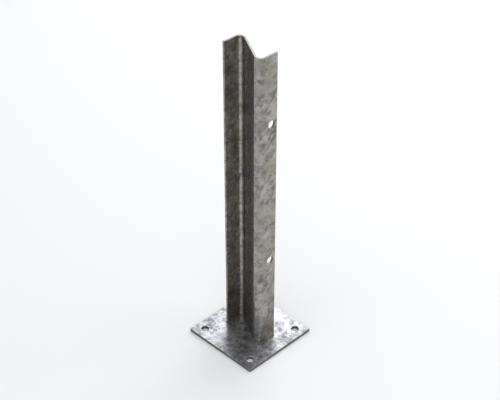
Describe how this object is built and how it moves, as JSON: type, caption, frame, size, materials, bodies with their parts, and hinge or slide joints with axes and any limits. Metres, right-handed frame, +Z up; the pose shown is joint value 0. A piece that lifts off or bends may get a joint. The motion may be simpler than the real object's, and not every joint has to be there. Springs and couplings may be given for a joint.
{
  "type": "safety barrier post",
  "caption": "Galvanised Z-section road safety-barrier post, fillet welded to a square base plate with anchor holes, with rail bolt holes in its front flange.",
  "frame": {"origin": "centre of the base plate's underside, where the part stands on the ground", "axes": "+Z up along the post; -Y out of the front flange, the one drilled for the rail; +X along the rail, to the right for someone who faces the front flange"},
  "size_m": [0.2, 0.2, 0.758],
  "materials": {
    "galvanised_plate": "hot-dip galvanised steel plate, bright cloudy zinc",
    "galvanised_sheet": "hot-dip galvanised cold-formed sheet, satin with mottled spangle",
    "galvanised_weld": "fillet weld under hot-dip zinc"
  },
  "bodies": {
    "root": {"base_plate": "galvanised_plate", "post": "galvanised_sheet", "weld_back_outer": "galvanised_weld", "weld_back_inner": "galvanised_weld", "weld_web_left": "galvanised_weld", "weld_web_right": "galvanised_weld", "weld_front_inner": "galvanised_weld", "weld_front_outer": "galvanised_weld"}
  },
  "joints": []
}
